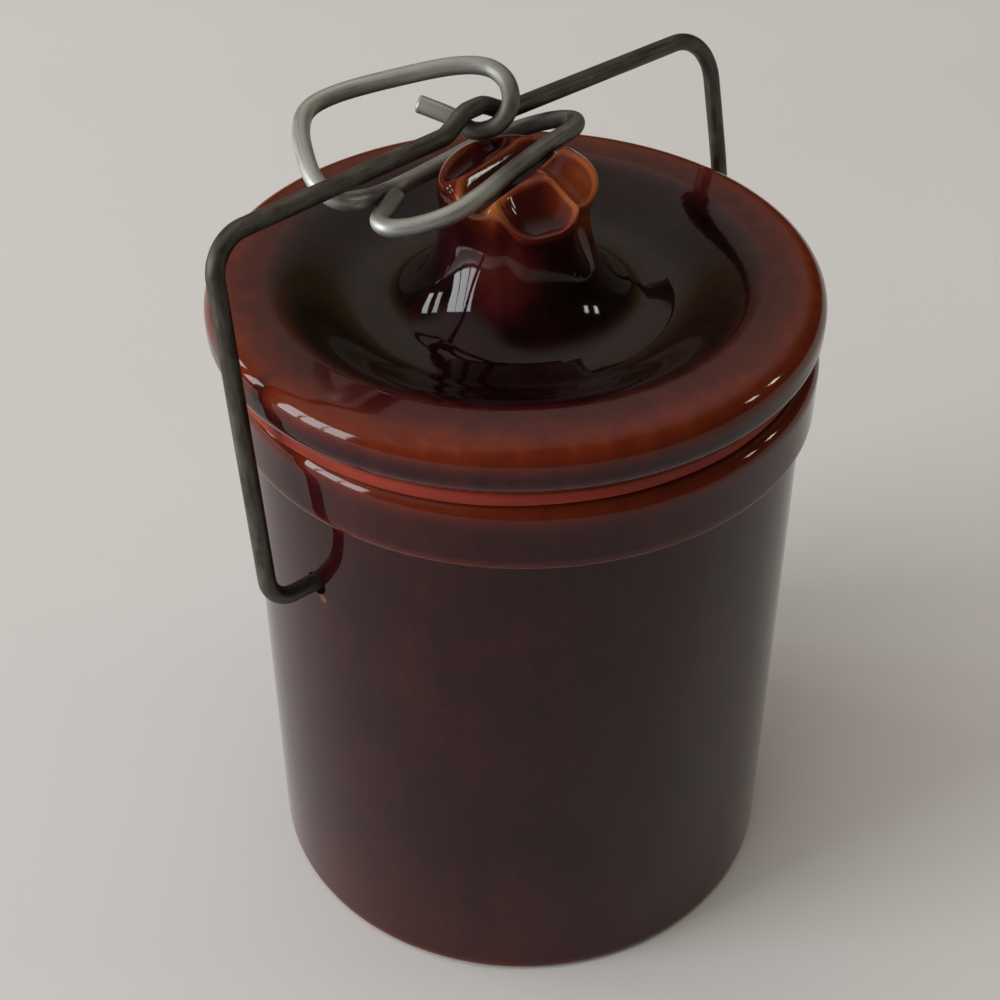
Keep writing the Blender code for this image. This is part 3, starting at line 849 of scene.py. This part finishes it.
def wire_material():
    """Galvanised steel wire: pale zinc with fine drawing lines, and dark brownish tarnish."""
    m = Material("galvanised_wire", Metallic=0.75)
    place = m.attribute("wire_place", "Vector")
    lines = m.noise(1.0, 4.0, 0.7, place=place, stretch=(9.0, 9.0, 90.0))
    spangle = m.noise(260.0, 4.0, 0.65)
    blotch = m.noise(1.0, 3.0, 0.6, place=place, stretch=(1.2, 1.2, 160.0))
    zinc = m.vary(m.attribute("zinc"), spangle, 0.45)
    zinc = m.vary(zinc, blotch, 0.45, clamp=True)
    m.colour(m.mix(zinc, m.ramp(lines, TARNISH_TONES), m.ramp(lines, ZINC_TONES)))
    m.roughness(m.between(spangle, 0.3, 0.7, 0.40, 0.56))
    m.normal(m.bump(lines, 0.00003, after=m.bump(spangle, 0.00003)))
    return m.material


def floor_material():
    m = Material("pale_floor", Roughness=0.9)
    m.colour(m.ramp(m.noise(3.0, 3.0), FLOOR_TONES))
    return m.material


def make_floor():
    bpy.ops.mesh.primitive_plane_add(size=FLOOR_SIZE, location=(0.0, 0.0, 0.0))
    floor = bpy.context.object
    floor.name = "pale_floor"
    floor.data.materials.append(floor_material())


def direction(azimuth, elevation):
    a, e = math.radians(azimuth), math.radians(elevation)
    return Vector((math.cos(a) * math.cos(e), math.sin(a) * math.cos(e), math.sin(e)))


def add_light(name, azimuth, elevation, distance, size, radiance, colour):
    """A soft rectangular light that faces the crock from an azimuth about it and an elevation."""
    light = bpy.data.lights.new(name, 'AREA')
    light.shape = 'RECTANGLE'
    light.size, light.size_y = size
    light.energy = radiance * math.pi * size[0] * size[1]
    light.color = colour
    lamp = bpy.data.objects.new(name, light)
    bpy.context.scene.collection.objects.link(lamp)
    away = direction(azimuth, elevation)
    lamp.location = away * distance + LIT_CENTRE
    lamp.rotation_euler = away.to_track_quat('Z', 'Y').to_euler()
    return lamp


def make_world():
    """A dim warm room with paler areas, soft at their edges, behind the crock and above the windows."""
    world = bpy.data.worlds.new("soft_room")
    bpy.context.scene.world = world
    world.use_nodes = True
    nodes, links = world.node_tree.nodes, world.node_tree.links
    place = nodes.new("ShaderNodeTexCoord")
    total = None
    for azimuth, elevation, reach, level in PALE_AREAS:
        towards = nodes.new("ShaderNodeVectorMath")
        towards.operation = 'DOT_PRODUCT'
        towards.inputs[1].default_value = direction(azimuth, elevation)
        fade = nodes.new("ShaderNodeMapRange")
        fade.interpolation_type = 'SMOOTHSTEP'
        fade.inputs["From Min"].default_value = math.cos(math.radians(reach))
        fade.inputs["From Max"].default_value = 1.0
        fade.inputs["To Max"].default_value = level
        links.new(place.outputs["Generated"], towards.inputs[0])
        links.new(towards.outputs["Value"], fade.inputs["Value"])
        if total:
            add = nodes.new("ShaderNodeMath")
            links.new(total, add.inputs[0])
            links.new(fade.outputs["Result"], add.inputs[1])
            total = add.outputs[0]
        else:
            total = fade.outputs["Result"]
    ramp = nodes.new("ShaderNodeValToRGB")
    elements = ramp.color_ramp.elements
    elements.new(ROOM_MIDDLE)
    for element, colour in zip(elements, ROOM_COLOURS):
        element.color = (*colour, 1.0)
    links.new(total, ramp.inputs["Fac"])
    links.new(ramp.outputs["Color"], nodes["Background"].inputs["Color"])


def make_lights():
    """A wide soft ceiling light that the glaze doesn't mirror, and windows that it does."""
    ceiling = add_light("ceiling", *CEILING)
    ceiling.visible_glossy = False
    for name, azimuths, *settings in WINDOWS:
        for i, azimuth in enumerate(azimuths):
            add_light(f"{name}_{i}", azimuth, *settings)


def make_camera():
    camera = bpy.data.cameras.new("camera")
    camera.sensor_width = CAMERA_SENSOR
    camera.lens = CAMERA_LENS
    camera.clip_start = 0.01
    eye = bpy.data.objects.new("camera", camera)
    bpy.context.scene.collection.objects.link(eye)
    eye.location = CAMERA_PLACE
    eye.rotation_euler = [math.radians(angle) for angle in CAMERA_TURN]
    bpy.context.scene.camera = eye


bpy.context.scene.view_settings.view_transform = 'Standard'
make_camera()
make_world()
make_lights()
make_floor()
make_crock(glaze_material("crock_glaze", BODY_STREAKS, bare_clay=True))
make_gasket(rubber_material())
make_lid(glaze_material("lid_glaze", LID_STREAKS, bare_clay=False))
wire = wire_material()
make_bail(wire)
make_clip(wire)
